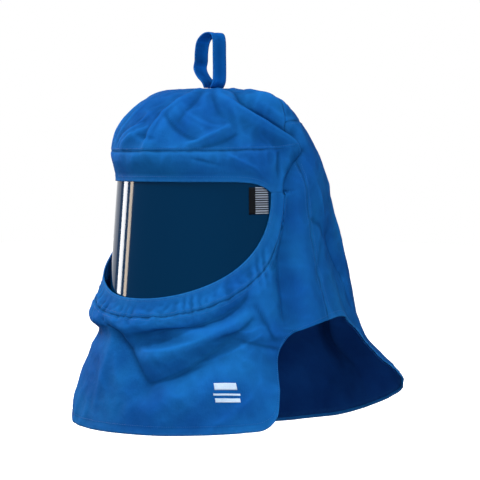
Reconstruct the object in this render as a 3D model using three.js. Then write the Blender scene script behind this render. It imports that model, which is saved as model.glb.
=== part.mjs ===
// Arc flash hood: a blue cloth hood that covers the head, neck and shoulders, with a tinted face lens
// in a half-moon window, a hanging loop on its crown and a navy lining behind its back drape.
// Millimetres and degrees. +Z is up, the wearer faces -Y and the wearer's left is +X. The origin is the
// point where the inside of the crown sits on the wearer's head gear.
// A "turn" is the angle round the head from the middle of the face, positive to the wearer's left.
// A "drop" is the distance down from the origin.

import * as THREE from 'three';

// Overall sizes of the hood
const hoodDrop = 526; // from the crown to the middle of the front hem
const headHalfWidth = 158; // from the head's axis to the side of the head part
const browDepth = 190; // from the axis forward to the brow
const napeDepth = 222; // from the axis back to the nape

// Cloth and seams
const clothWall = 2; // shell cloth, two layers sewn together
const liningWall = 1.2;
const layerGap = 0.4; // between pieces that lie on each other
const liningGap = 0.8; // between the back panel and its lining
const seamGap = 0.6; // between the cut edges of two panels at a seam
const hemReveal = 2; // the shell cloth shows this far past the edge of the lining

// Window and face lens
const windowTurn = 77; // half of the window's width
const windowTop = 147; // drop of the window's upper edge in the middle of the face
const windowCorner = 164; // drop of the window's two corners
const windowDeep = 159; // from the corners down to the window's lowest point
const windowRound = 2.15; // 2 makes the lower edge an ellipse, and more makes it squarer
const browCurl = 12; // how sharply the upper edge turns down into the corners
const windowBandWidth = 27; // the stitched band below the window
const lensWall = 2;
const lensMargin = 13; // the lens reaches this far behind the cloth round the window
const templeClearance = 7; // at the window's upper edge the lens stands this far inside the head's width
const browClearance = 25; // and this far behind the brow
const lensSide = headHalfWidth - templeClearance;
const lensFront = browDepth - browClearance;
const lensFlareSide = 8; // at the window's lowest point the lens stands this much further out
const lensFlareFront = 16;
const hugReach = 26; // within this distance of the window the cloth bends in to the lens
const bandSlack = 13; // over the right cheek the band stands this far off the lens
const slackTurn = -56;
const slackSpan = 22;
const slackDrop = 252; // from the corners' level to this drop it comes off the lens
const backBlendFrom = 70; // between these turns the front half's width passes to the back half's
const backBlendTo = 110;

// Seams
const sideSeamTurn = 102;
const browSeamDrop = 101; // seam between the crown and the brow band, in the middle of the face
const browSeamRise = 6; // it is this much higher at the side seams
const crossSeamDrop = 52; // seam across the back of the crown
const seamEnd = 17; // the seams that meet at the temple stop this far from each other

// Shoulder cut-outs and hems
const archDrop = 360; // top of the cut-out, at the side seam
const frontHemTilt = 12; // the hems hang this much lower over the right shoulder than in the middle
const backHemTilt = 85;

// Hanging loop
const loopHeight = 88;
const loopOpening = 38; // between the two strands
const strapWidth = 29;
const strapWall = 2;
const loopForward = 11; // the loop stands this far in front of the axis

// Label on the lens and plain patch on the bib
const labelWall = 0.4;
const labelTurn = 64;
const labelSpan = 11.5;
const labelDrop = 155;
const labelFoot = 196;
const patchTurn = 45;
const patchRise = 83; // from the hem up to the top of the patch
const patchSpan = 10.4; // turn from one side of the patch to the other
const patchHeight = 28;
const patchWall = 0.5;
const patchGap = 0.6; // its flat facets clear the bends of the cloth

// Largest rise and breadth of a fold, and the gathers round the window band
const foldRise = 16;
const foldBreadth = 42;
const gatherRise = 1.6;
const gatherPitch = 21;
const gatherReach = 13; // they fade within this distance of the band's outer edge

const degree = Math.PI / 180;
const mix = THREE.MathUtils.lerp;
const ease = THREE.MathUtils.smoothstep;

// Level sections from the crown to the hem. drop is a share of hoodDrop, side and drapeSide (the side
// of the back half) of headHalfWidth, front of browDepth and back of napeDepth.
const sections = [
  { drop: 0, side: 0, drapeSide: 0, front: 0, back: 0 },
  { drop: 0.008, side: 0.4, drapeSide: 0.4, front: 0.38, back: 0.2 },
  { drop: 0.019, side: 0.58, drapeSide: 0.58, front: 0.55, back: 0.32 },
  { drop: 0.043, side: 0.7, drapeSide: 0.7, front: 0.67, back: 0.45 },
  { drop: 0.073, side: 0.775, drapeSide: 0.775, front: 0.765, back: 0.555 },
  { drop: 0.117, side: 0.85, drapeSide: 0.85, front: 0.86, back: 0.66 },
  { drop: 0.166, side: 0.915, drapeSide: 0.915, front: 0.93, back: 0.75 },
  { drop: 0.216, side: 0.965, drapeSide: 0.965, front: 0.95, back: 0.82 },
  { drop: 0.288, side: 0.995, drapeSide: 0.995, front: 0.925, back: 0.885 },
  { drop: 0.385, side: 1.01, drapeSide: 1.01, front: 0.93, back: 0.965 },
  { drop: 0.487, side: 1.05, drapeSide: 1.05, front: 0.97, back: 1.05 },
  { drop: 0.585, side: 1.15, drapeSide: 1.13, front: 1.06, back: 1.09 },
  { drop: 0.683, side: 1.24, drapeSide: 1.24, front: 1.09, back: 1.11 },
  { drop: 0.733, side: 1.23, drapeSide: 1.34, front: 1.05, back: 1.12 },
  { drop: 0.785, side: 1.27, drapeSide: 1.5, front: 1.05, back: 1.14 },
  { drop: 0.875, side: 1.43, drapeSide: 1.94, front: 1.08, back: 1.27 },
  { drop: 0.985, side: 1.57, drapeSide: 2.13, front: 1.12, back: 1.32 },
  { drop: 1.14, side: 1.65, drapeSide: 2.22, front: 1.14, back: 1.34 },
];
const columnsOf = ({ drop, side, drapeSide, front, back }) => [
  drop * hoodDrop,
  side * headHalfWidth,
  drapeSide * headHalfWidth,
  front * browDepth,
  back * napeDepth,
];
const levels = new THREE.CubicInterpolant(
  sections.map((_, row) => row),
  sections.flatMap(columnsOf),
  5,
  new Float64Array(5),
);
const lastRow = sections.length - 1;

// Folds of the cloth. Each runs from one place to another, with a bow downwards; drops and bow are
// shares of hoodDrop, breadth of foldBreadth and rise of foldRise, and a rise below 0 is a valley.
const folds = [
  { turn: 58, drop: 0.024, toTurn: 106, toDrop: 0.178, bow: 0, breadth: 0.34, rise: 0.65 },
  { turn: 78, drop: 0.034, toTurn: 114, toDrop: 0.132, bow: 0, breadth: 0.32, rise: -0.75 },
  { turn: 98, drop: 0.03, toTurn: 132, toDrop: 0.1, bow: 0, breadth: 0.36, rise: 0.3 },
  { turn: 26, drop: 0.03, toTurn: 10, toDrop: 0.185, bow: 0, breadth: 0.3, rise: 0.4 },
  { turn: 4, drop: 0.124, toTurn: -14, toDrop: 0.17, bow: 0, breadth: 0.26, rise: 0.35 },
  { turn: 20, drop: 0.095, toTurn: 42, toDrop: 0.163, bow: 0, breadth: 0.24, rise: -0.4 },
  { turn: 55, drop: 0.135, toTurn: 34, toDrop: 0.175, bow: 0, breadth: 0.24, rise: 0.3 },
  { turn: -28, drop: 0.05, toTurn: -42, toDrop: 0.185, bow: 0, breadth: 0.35, rise: 0.35 },
  { turn: -50, drop: 0.05, toTurn: -78, toDrop: 0.17, bow: 0, breadth: 0.3, rise: -0.4 },
  { turn: -62, drop: 0.04, toTurn: -98, toDrop: 0.17, bow: 0, breadth: 0.3, rise: 0.45 },
  { turn: 56, drop: 0.212, toTurn: 78, toDrop: 0.3, bow: 0, breadth: 0.26, rise: 0.35 },
  { turn: 105, drop: 0.19, toTurn: 87, toDrop: 0.31, bow: 0, breadth: 0.4, rise: -0.6 },
  { turn: 86, drop: 0.37, toTurn: 80, toDrop: 0.7, bow: 0, breadth: 0.5, rise: -0.85 },
  { turn: 94, drop: 0.4, toTurn: 92, toDrop: 0.68, bow: 0, breadth: 0.42, rise: 0.4 },
  { turn: -86, drop: 0.36, toTurn: -82, toDrop: 0.62, bow: 0, breadth: 0.5, rise: -0.6 },
  { turn: 119, drop: 0.45, toTurn: 124, toDrop: 0.68, bow: 0, breadth: 0.5, rise: -0.45 },
  { turn: 8, drop: 0.737, toTurn: 58, toDrop: 0.617, bow: 0.012, breadth: 0.4, rise: -0.95 },
  { turn: 14, drop: 0.775, toTurn: 58, toDrop: 0.66, bow: 0.012, breadth: 0.34, rise: 0.5 },
  { turn: -18, drop: 0.703, toTurn: 14, toDrop: 0.855, bow: -0.03, breadth: 0.45, rise: -0.7 },
  { turn: 16, drop: 0.853, toTurn: 60, toDrop: 0.671, bow: 0.012, breadth: 0.45, rise: -0.7 },
  { turn: 18, drop: 0.9, toTurn: 62, toDrop: 0.75, bow: 0.02, breadth: 0.6, rise: 0.45 },
  { turn: -84, drop: 0.66, toTurn: -40, toDrop: 0.69, bow: 0, breadth: 0.4, rise: 0.3 },
  { turn: -84, drop: 0.74, toTurn: -22, toDrop: 0.725, bow: 0, breadth: 0.36, rise: -0.55 },
  { turn: -34, drop: 0.8, toTurn: -40, toDrop: 0.99, bow: 0, breadth: 0.7, rise: 0.45 },
  { turn: 150, drop: 0.3, toTurn: 146, toDrop: 0.95, bow: 0, breadth: 0.8, rise: 0.5 },
  { turn: 166, drop: 0.45, toTurn: 163, toDrop: 1.03, bow: 0, breadth: 0.8, rise: -0.7 },
  { turn: 184, drop: 0.5, toTurn: 184, toDrop: 1.08, bow: 0, breadth: 0.8, rise: 0.6 },
  { turn: 204, drop: 0.45, toTurn: 206, toDrop: 1.1, bow: 0, breadth: 0.8, rise: -0.7 },
  { turn: 222, drop: 0.4, toTurn: 222, toDrop: 1, bow: 0, breadth: 0.8, rise: 0.5 },
  { turn: 243, drop: 0.3, toTurn: 240, toDrop: 0.68, bow: 0, breadth: 0.5, rise: -0.45 },
];

const browSeam = (turn) => browSeamDrop - browSeamRise * (turn / sideSeamTurn) ** 2;
const windowEdge = (turn) =>
  windowTop + (windowCorner - windowTop) * Math.min(1, Math.abs(turn) / windowTurn) ** browCurl;

// Drop of the window's lower edge, or of a line at a margin outside it.
const degreesWide = (length) => length / (headHalfWidth * degree);
function ovalDrop(turn, margin) {
  const share = Math.min(1, Math.abs(turn) / (windowTurn + degreesWide(margin)));
  return windowCorner + (windowDeep + margin) * (1 - share ** windowRound) ** (1 / windowRound);
}

// Distance from the window's edge, along the cloth.
function windowDistance(turn, drop) {
  const beside = (Math.abs(turn) - windowTurn) * headHalfWidth * degree;
  if (drop < windowCorner) return Math.max(windowEdge(turn) - drop, beside, 0);
  const across = Math.abs(turn) / windowTurn;
  const down = (drop - windowCorner) / windowDeep;
  return Math.max(Math.hypot(across, down) - 1, 0) * windowDeep;
}

// Half width and depth of the lens's outer face at a drop.
function lensSection(drop) {
  const share = (drop - windowTop) / (windowCorner + windowDeep - windowTop);
  return { side: lensSide + lensFlareSide * share, front: lensFront + lensFlareFront * share };
}

function foldHeight(turn, drop) {
  const across = headHalfWidth * degree;
  let height = 0;
  for (const fold of folds) {
    const from = new THREE.Vector2(fold.turn * across, fold.drop * hoodDrop);
    const to = new THREE.Vector2(fold.toTurn * across, fold.toDrop * hoodDrop);
    const here = new THREE.Vector2(turn * across, drop);
    const line = to.clone().sub(from);
    const along = THREE.MathUtils.clamp(here.clone().sub(from).dot(line) / line.lengthSq(), 0, 1);
    const crest = from.addScaledVector(line, along);
    crest.y += fold.bow * hoodDrop * 4 * along * (1 - along);
    const away = here.distanceTo(crest) / (fold.breadth * foldBreadth);
    const taper = 0.5 + 2 * along * (1 - along); // 1 in the middle and 0.5 at the two ends
    height += fold.rise * foldRise * Math.exp(-away * away) * taper;
  }
  const beyond = windowDistance(turn, drop);
  const gathers = Math.sin((2 * Math.PI * turn) / degreesWide(gatherPitch)) * gatherRise;
  const nearBand = Math.exp(-(((beyond - windowBandWidth) / gatherReach) ** 2));
  const gathered = nearBand * ease(drop, windowCorner, archDrop);
  return height * ease(beyond, lensMargin, lensMargin + hugReach) + gathers * gathered;
}

// The hood is mapped flat round its crown: a map point's distance from the centre is the row in the
// sections, and its direction is the turn.
const mapPoint = (turn, row) =>
  new THREE.Vector2(Math.sin(turn * degree), -Math.cos(turn * degree)).multiplyScalar(row);

const halvings = 30;
function rowAt(drop) {
  let low = 0;
  let high = lastRow;
  for (let halving = 0; halving < halvings; halving += 1) {
    const middle = (low + high) / 2;
    if (levels.evaluate(middle)[0] < drop) low = middle;
    else high = middle;
  }
  return low;
}
const mapAt = (turn, drop) => mapPoint(turn, rowAt(drop));

// The turn, from -180 to 180 degrees, the drop and the level section of a map point.
function placeOf(map) {
  const row = Math.min(map.length(), lastRow);
  const [drop, side, drapeSide, front, back] = levels.evaluate(row);
  return { turn: Math.atan2(map.x, -map.y) / degree, drop, side, drapeSide, front, back };
}

// A point of the smooth hood, with no folds.
function smoothPoint(map) {
  const { turn, drop, side, drapeSide, front, back } = placeOf(map);
  const nearWindow = Math.exp(-((windowDistance(turn, drop) / hugReach) ** 2));
  const hug = nearWindow * ease(drop, crossSeamDrop, windowTop);
  const lens = lensSection(drop);
  const overCheek = Math.exp(-(((turn - slackTurn) / slackSpan) ** 2));
  const slack = overCheek * ease(drop, windowCorner, slackDrop);
  const seat = layerGap + clothWall + bandSlack * slack;
  const halfWidth = mix(side, drapeSide, ease(Math.abs(turn), backBlendFrom, backBlendTo));
  const depth = Math.abs(turn) < 90 ? front : back;
  const across = mix(halfWidth, lens.side + seat, hug);
  const along = Math.abs(turn) < 90 ? mix(depth, lens.front + seat, hug) : depth;
  return new THREE.Vector3(
    across * Math.sin(turn * degree),
    -along * Math.cos(turn * degree),
    clothWall - drop,
  );
}

function smoothNormal(map) {
  const step = 0.02; // share of a row
  const at = (x, y) => smoothPoint(new THREE.Vector2(map.x + x, map.y + y));
  const eastward = at(step, 0).sub(at(-step, 0));
  const backward = at(0, step).sub(at(0, -step));
  return eastward.cross(backward).normalize();
}

// A point of the hood's cloth, folds and all, at a depth below the outer face.
function clothPoint(map, depth) {
  const { turn, drop } = placeOf(map);
  const aroundBack = turn < -sideSeamTurn ? turn + 360 : turn;
  return smoothPoint(map).addScaledVector(smoothNormal(map), foldHeight(aroundBack, drop) - depth);
}

function mesh(name, material, geometry) {
  geometry.computeVertexNormals();
  const made = new THREE.Mesh(geometry, material);
  made.name = name;
  return made;
}

// A box of thin cells bent to a shape: across and down run from 0 to 1, and depth is 0 at its outer face
// and 1 at its inner one. A box splits its back face's cells the other way, so they are split again
// like the front face's, which keeps the wall's thickness where a cell is warped.
function bentSheet(name, material, columns, rows, place) {
  const geometry = new THREE.BoxGeometry(1, 1, 1, columns, rows, 1);
  const position = geometry.attributes.position;
  for (let i = 0; i < position.count; i += 1) {
    const point = place(position.getX(i) + 0.5, 0.5 - position.getY(i), 0.5 - position.getZ(i));
    position.setXYZ(i, point.x, point.y, point.z);
  }
  const corners = geometry.index.array;
  const { start, count } = geometry.groups[5];
  for (let i = start; i < start + count; i += 6) {
    const [a, b, d, , c] = corners.subarray(i, i + 5);
    corners.set([a, b, c, a, c, d], i);
  }
  return mesh(name, material, geometry);
}

// A cloth panel between an upper and a lower edge, each given as a place on the map for a share across.
function panel(name, material, columns, rows, upper, lower, outerDepth, innerDepth) {
  return bentSheet(name, material, columns, rows, (across, down, depth) => {
    const map = upper(across).lerp(lower(across), down);
    return clothPoint(map, mix(outerDepth, innerDepth, depth));
  });
}

// A panel edge drawn through stations { turn, drop }.
function drawnEdge(stations) {
  const curve = new THREE.SplineCurve(stations.map(({ turn, drop }) => new THREE.Vector2(turn, drop)));
  return (across) => {
    const { x: turn, y: drop } = curve.getPoint(across);
    return mapAt(turn, drop);
  };
}

// The stations of one half, middle first, and their mirror image about a middle turn.
function bothHalves(half, middle) {
  const mirrored = half.slice(1).reverse();
  return [
    ...mirrored.map(({ turn, drop }) => ({ turn: 2 * middle - turn, drop })),
    ...half,
  ];
}

const blueCloth = new THREE.MeshStandardMaterial({ color: 0x1759a5, roughness: 0.72, metalness: 0 });
const navyLining = new THREE.MeshStandardMaterial({ color: 0x0c2856, roughness: 0.85, metalness: 0 });
const tintedLens = new THREE.MeshStandardMaterial({ color: 0x012c4d, roughness: 0.06, metalness: 0 });
const blackLabel = new THREE.MeshStandardMaterial({ color: 0x15171f, roughness: 0.5, metalness: 0 });
const whitePrint = new THREE.MeshStandardMaterial({ color: 0xdfe9f5, roughness: 0.6, metalness: 0 });

const halfSeam = seamGap / 2;
const seamTurn = degreesWide(halfSeam);
const frontTurn = sideSeamTurn - seamTurn;
const clothTurn = (across) => mix(-frontTurn, frontTurn, across);

// The seam over the top of the head, from one temple over the crown to the other; forward is -1 for its
// front side and 1 for its back side.
const crownRowDepth = 55; // a row of the map is about this deep from front to back on the crown
function crownSeam(across, templeDrop, forward) {
  const side = Math.abs(2 * across - 1) * rowAt(templeDrop);
  const map = mapPoint(sideSeamTurn, side);
  map.x *= Math.sign(2 * across - 1);
  map.y += (forward * halfSeam) / crownRowDepth;
  return map;
}

function crownFront() {
  const upper = (across) => crownSeam(across, browSeam(sideSeamTurn) - seamEnd, -1);
  const lower = (across) => mapAt(clothTurn(across), browSeam(clothTurn(across)) - halfSeam);
  return panel('crown_front', blueCloth, 36, 9, upper, lower, 0, clothWall);
}

function crownBack() {
  const upper = (across) => crownSeam(1 - across, crossSeamDrop - seamEnd, 1);
  const backTurn = (across) => mix(sideSeamTurn + seamTurn, 360 - sideSeamTurn - seamTurn, across);
  const lower = (across) => mapAt(backTurn(across), crossSeamDrop - halfSeam);
  return panel('crown_back', blueCloth, 24, 5, upper, lower, 0, clothWall);
}

// The window's lower edge from corner to corner, or a line at a margin outside it.
const bandColumns = 36;
const windowLine = (margin) => (across) => {
  const turn = (windowTurn + degreesWide(margin)) * Math.sin((across - 0.5) * Math.PI);
  return mapAt(turn, ovalDrop(turn, margin) + 2 * seamGap);
};

// An edge that follows a line over the middle columns, and at each side runs on from the line's end to
// the temple.
const temple = browSeam(sideSeamTurn) + seamEnd;
const cheekColumns = 4;
const frontColumns = bandColumns + 2 * cheekColumns;
const toTemples = (line, templeDrop) => (across) => {
  const share = (across * frontColumns - cheekColumns) / bandColumns;
  if (share >= 0 && share <= 1) return line(share);
  const side = Math.sign(share);
  const outward = ((Math.abs(share - 0.5) - 0.5) * bandColumns) / cheekColumns;
  return line(0.5 + 0.5 * side).lerp(mapAt(side * frontTurn, templeDrop), outward);
};

// The brow band: its lower edge follows the window, and past the window's corners it rises to the temple.
function browBand() {
  const bandTurn = windowTurn + degreesWide(windowBandWidth);
  const upper = (across) => mapAt(clothTurn(across), browSeam(clothTurn(across)) + halfSeam);
  const overWindow = (share) => {
    const turn = mix(-bandTurn, bandTurn, share);
    return mapAt(turn, windowEdge(turn) - seamGap);
  };
  const lower = toTemples(overWindow, temple);
  return panel('brow_band', blueCloth, frontColumns, 3, upper, lower, 0, clothWall);
}

// The stitched band under the window, from corner to corner.
function windowBand() {
  const upper = windowLine(0);
  const lower = windowLine(windowBandWidth);
  return panel('window_band', blueCloth, bandColumns, 2, upper, lower, 0, clothWall);
}

// The lower edge of the front panel's left half, from the middle of the hem round the corner of the bib
// and up the front of the cut-out to the side seam. bottom is a share of hoodDrop.
const bibEdge = [
  { turn: 0, bottom: 1 },
  { turn: 10, bottom: 1 },
  { turn: 20, bottom: 1 },
  { turn: 30, bottom: 0.998 },
  { turn: 39.5, bottom: 0.996 },
  { turn: 49.5, bottom: 0.993 },
  { turn: 57.5, bottom: 0.987 },
  { turn: 63, bottom: 0.955 },
  { turn: 66.2, bottom: 0.895 },
  { turn: 68.8, bottom: 0.835 },
  { turn: 71.5, bottom: 0.775 },
  { turn: 76, bottom: 0.735 },
  { turn: 83.5, bottom: 0.709 },
  { turn: 92.5, bottom: 0.694 },
];

// The front panel: both cheeks and the bib. Its upper edge follows the window band, and runs on from
// the band's ends up to the temples.
function frontPanel() {
  const upper = toTemples(windowLine(windowBandWidth + seamGap), temple + 2 * seamGap);
  const hang = (turn, drop) =>
    drop - frontHemTilt * Math.sin(turn * degree) * ease(drop, archDrop, hoodDrop);
  const stations = bibEdge.map(({ turn, bottom }) => ({ turn, drop: bottom * hoodDrop }));
  stations.push({ turn: frontTurn, drop: archDrop });
  const hung = bothHalves(stations, 0).map(({ turn, drop }) => ({ turn, drop: hang(turn, drop) }));
  return panel('front_panel', blueCloth, frontColumns, 17, upper, drawnEdge(hung), 0, clothWall);
}

// The lower edge of the back panel's left half, from the middle of the hem round the corner and up the
// rear of the cut-out to the side seam. top is the turn of the same thread at the cross seam, and bottom
// is a share of hoodDrop.
const drapeEdge = [
  { top: 180, turn: 180, bottom: 1.066 },
  { top: 170, turn: 170, bottom: 1.06 },
  { top: 160, turn: 160, bottom: 1.05 },
  { top: 150, turn: 150, bottom: 1.033 },
  { top: 141, turn: 141.5, bottom: 1.013 },
  { top: 134, turn: 135.5, bottom: 0.988 },
  { top: 129, turn: 132.5, bottom: 0.94 },
  { top: 125, turn: 131, bottom: 0.87 },
  { top: 121, turn: 129, bottom: 0.8 },
  { top: 117, turn: 125, bottom: 0.73 },
  { top: 113, turn: 119, bottom: 0.693 },
  { top: 108, turn: 111, bottom: 0.681 },
];
const drapeColumns = 36;
const drapeRows = 15;
function drapeMap() {
  const cross = crossSeamDrop + halfSeam;
  const hang = (turn, drop) =>
    drop - backHemTilt * Math.sin(turn * degree) * ease(drop, archDrop, hoodDrop);
  const top = drapeEdge.map(({ top: turn }) => ({ turn, drop: cross }));
  const bottom = drapeEdge.map(({ turn, bottom: share }) => ({ turn, drop: share * hoodDrop }));
  top.push({ turn: sideSeamTurn + seamTurn, drop: cross });
  bottom.push({ turn: sideSeamTurn + seamTurn, drop: archDrop });
  const leftToRight = (half) =>
    bothHalves(half, 180).map(({ turn, drop }) => ({ turn: 360 - turn, drop }));
  const hung = leftToRight(bottom).map(({ turn, drop }) => ({ turn, drop: hang(turn, drop) }));
  const upper = drawnEdge(leftToRight(top));
  const lower = drawnEdge(hung);
  return (across, down) => upper(across).lerp(lower(across), down);
}

// The back panel, from the cross seam to the hem.
function backPanel() {
  const map = drapeMap();
  return bentSheet('back_panel', blueCloth, drapeColumns, drapeRows, (across, down, depth) =>
    clothPoint(map(across, down), clothWall * depth),
  );
}

// The lining lies inside the back panel, and at the free edges it stops short of the panel's edge, on
// the straight line to the next thread in.
function backLining() {
  const map = drapeMap();
  return bentSheet('back_lining', navyLining, drapeColumns, drapeRows, (across, down, depth) => {
    const below = clothWall + liningGap + liningWall * depth;
    const column = Math.round(across * drapeColumns);
    const row = Math.round(down * drapeRows);
    const nextColumn = THREE.MathUtils.clamp(column, 1, drapeColumns - 1);
    const nextRow = Math.min(row, drapeRows - 1);
    const inward = clothPoint(map(nextColumn / drapeColumns, nextRow / drapeRows), below);
    if (nextColumn === column && nextRow === row) return inward;
    const edge = clothPoint(map(column / drapeColumns, row / drapeRows), below);
    return edge.lerp(inward, hemReveal / edge.distanceTo(inward));
  });
}

function lensPoint(turn, drop, outward) {
  const { side, front } = lensSection(drop);
  return new THREE.Vector3(
    (side + outward) * Math.sin(turn * degree),
    -(front + outward) * Math.cos(turn * degree),
    clothWall - drop,
  );
}

// The lens is a half-moon a little larger than its window.
function lens() {
  const reach = windowTurn + degreesWide(lensMargin);
  return bentSheet('lens', tintedLens, 36, 1, (across, down, depth) => {
    const turn = reach * Math.sin((across - 0.5) * Math.PI);
    const drop = mix(windowEdge(turn) - lensMargin, ovalDrop(turn, lensMargin), down);
    return lensPoint(turn, drop, -lensWall * depth);
  });
}

function lensLabel() {
  return bentSheet('lens_label', blackLabel, 3, 1, (across, down, depth) => {
    const turn = labelTurn + labelSpan * across;
    const top = Math.max(labelDrop, windowEdge(turn) + 2 * seamGap);
    return lensPoint(turn, mix(top, labelFoot, down), layerGap + labelWall * (1 - depth));
  });
}

function bibPatch() {
  return bentSheet('bib_patch', whitePrint, 3, 2, (across, down, depth) =>
    clothPoint(
      mapAt(patchTurn + patchSpan * (across - 0.5), hoodDrop - patchRise + patchHeight * down),
      -patchGap - patchWall * (1 - depth),
    ),
  );
}

// The hanging loop: one strap, its width running front to back, its two ends sewn side by side to the
// crown. x is a share of loopOpening and z of loopHeight.
const loopPath = [
  { x: 0.26, z: 0 },
  { x: 0.4, z: 0.12 },
  { x: 0.42, z: 0.34 },
  { x: 0.41, z: 0.6 },
  { x: 0.4, z: 0.84 },
  { x: 0.31, z: 0.97 },
  { x: 0.08, z: 1 },
  { x: -0.22, z: 0.965 },
  { x: -0.5, z: 0.85 },
  { x: -0.6, z: 0.67 },
  { x: -0.62, z: 0.5 },
  { x: -0.68, z: 0.36 },
  { x: -0.5, z: 0.22 },
  { x: -0.2, z: 0.1 },
  { x: -0.08, z: 0 },
];
function hangingLoop() {
  const foot = clothWall + layerGap;
  const centre = new THREE.CatmullRomCurve3(
    loopPath.map(({ x, z }) => new THREE.Vector3(x * loopOpening, 0, foot + z * (loopHeight - foot))),
  );
  return bentSheet('hanging_loop', blueCloth, 40, 1, (along, across, depth) => {
    const point = centre.getPoint(along);
    const tangent = centre.getTangent(along);
    const outward = new THREE.Vector3(tangent.z, 0, -tangent.x);
    point.addScaledVector(outward, strapWall * (0.5 - depth));
    point.y += strapWidth * (across - 0.5) - loopForward;
    return point;
  });
}

const hood = new THREE.Group();
hood.add(
  crownFront(),
  crownBack(),
  browBand(),
  windowBand(),
  frontPanel(),
  backPanel(),
  backLining(),
  lens(),
  lensLabel(),
  bibPatch(),
  hangingLoop(),
);

export default hood;
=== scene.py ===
import math

import bmesh
import bpy
import numpy as np
from mathutils import Matrix, Vector, noise


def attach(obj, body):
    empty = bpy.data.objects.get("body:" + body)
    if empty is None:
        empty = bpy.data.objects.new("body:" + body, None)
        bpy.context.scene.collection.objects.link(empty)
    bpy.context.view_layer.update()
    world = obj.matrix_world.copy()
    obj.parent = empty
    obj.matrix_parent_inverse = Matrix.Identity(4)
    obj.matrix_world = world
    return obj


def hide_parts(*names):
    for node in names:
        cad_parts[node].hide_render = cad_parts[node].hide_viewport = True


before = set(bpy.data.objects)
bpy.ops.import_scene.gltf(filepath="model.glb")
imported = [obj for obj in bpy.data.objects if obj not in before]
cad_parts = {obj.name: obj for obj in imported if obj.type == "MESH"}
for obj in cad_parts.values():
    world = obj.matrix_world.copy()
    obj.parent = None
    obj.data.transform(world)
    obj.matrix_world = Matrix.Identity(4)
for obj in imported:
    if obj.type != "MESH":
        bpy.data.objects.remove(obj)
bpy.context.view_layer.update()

# Camera: stands in front of the hood, well round to the wearer's left and a little above the hood's
# middle, which it looks at.
camera_turn = math.radians(43)
camera_rise = math.radians(3)
camera_distance = 2.5
camera_aim = Vector((0.0269, 0.0251, -0.240))
camera_back = Vector((
    math.sin(camera_turn) * math.cos(camera_rise),
    -math.cos(camera_turn) * math.cos(camera_rise),
    math.sin(camera_rise),
))
camera_lens = bpy.data.cameras.new("camera")
camera_lens.lens = 117.2
camera_lens.sensor_width = 36
camera = bpy.data.objects.new("camera", camera_lens)
camera.location = camera_aim + camera_back * camera_distance
camera.rotation_euler = (-camera_back).to_track_quat("-Z", "Y").to_euler()
bpy.context.scene.collection.objects.link(camera)
bpy.context.scene.camera = camera

# Crown: the front and back pieces of shell cloth over the top of the head. The cloth is a blue
# flame-resistant aramid twill in two layers, cut in panels, sewn edge to edge and topstitched.
# Sizes are millimetres and degrees. A turn is the angle round the head from the middle of the face,
# positive to the wearer's left, and a drop is the distance below the origin.
MM = 0.001
hood_drop = 526
head_half_width = 158
brow_depth = 190
nape_depth = 222
cloth_wall = 2
layer_gap = 0.4
seam_gap = 0.1
window_turn = 77
window_top = 147
window_corner = 164
window_deep = 159
window_round = 2.15
brow_curl = 12
window_band_width = 27
lens_margin = 13
lens_side = 151
lens_front = 165
lens_flare_side = 8
lens_flare_front = 16
hug_reach = 26
band_slack = 13
slack_turn = -56
slack_span = 22
slack_drop = 252
back_blend_from = 70
back_blend_to = 110
side_seam_turn = 102
brow_seam_drop = 101
brow_seam_rise = 6
cross_seam_drop = 52
seam_end = 17
arch_drop = 360
fold_rise = 16
fold_breadth = 42
gather_rise = 2.1
gather_pitch = 21
gather_reach = 13
gather_waves = ((3.2, 5.3, 0), (2.1, 2.9, 1))
pucker_rise = 2.4
pucker_size = 8
crease_strength = 1.8
crease_peak = 0.22
crease_round = 0.05

# Ripples all over the cloth: rise, width and height in millimetres, and a shift that sets their
# patterns apart. The soft ones are rounded and the sharp ones come to ridges.
soft_ripples = ((1.6, 46, 90, 0), (0.4, 19, 19, 0))
sharp_ripples = ((3.4, 36, 52, 9), (1.0, 17, 22, 4))
ripple_level = 0.9

# What sewing and folding do to the cloth: how far a seam is rubbed and sunk, how dark and how far its
# painted shade is, how far a turned hem is rubbed and raised, and the bends, in 1 a millimetre, at which
# the painted shade in a crease and the painted highlight on a fold are full.
seam_wear = 0.5
seam_wear_reach = 5
seam_dip = 1.3
seam_dip_reach = 3
seam_painted_shade = 1.6
seam_painted_shade_reach = 2.4
hem_wear_reach = 4
hem_rise = 0.5
hem_flat = 8
hem_end = 12
crease_reach = 2
crease_share = 0.6
crease_bend = 0.09
fold_reach = 8
fold_share = 0.4
fold_bend = 0.03
head_bend = 0.012

# Level sections from the crown to the hem: drop is a share of hood_drop, side and drape side of
# head_half_width, front of brow_depth and back of nape_depth.
section_shares = np.array([
    (0, 0, 0, 0, 0),
    (0.008, 0.4, 0.4, 0.38, 0.2),
    (0.019, 0.58, 0.58, 0.55, 0.32),
    (0.043, 0.7, 0.7, 0.67, 0.45),
    (0.073, 0.775, 0.775, 0.765, 0.555),
    (0.117, 0.85, 0.85, 0.86, 0.66),
    (0.166, 0.915, 0.915, 0.93, 0.75),
    (0.216, 0.965, 0.965, 0.95, 0.82),
    (0.288, 0.995, 0.995, 0.925, 0.885),
    (0.385, 1.01, 1.01, 0.93, 0.965),
    (0.487, 1.05, 1.05, 0.97, 1.05),
    (0.585, 1.15, 1.13, 1.06, 1.09),
    (0.683, 1.24, 1.24, 1.09, 1.11),
    (0.733, 1.23, 1.34, 1.05, 1.12),
    (0.785, 1.27, 1.5, 1.05, 1.14),
    (0.875, 1.43, 1.94, 1.08, 1.27),
    (0.985, 1.57, 2.13, 1.12, 1.32),
    (1.14, 1.65, 2.22, 1.14, 1.34),
])
section_sizes = section_shares * (hood_drop, head_half_width, head_half_width, brow_depth, nape_depth)
last_row = len(section_sizes) - 1

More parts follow.
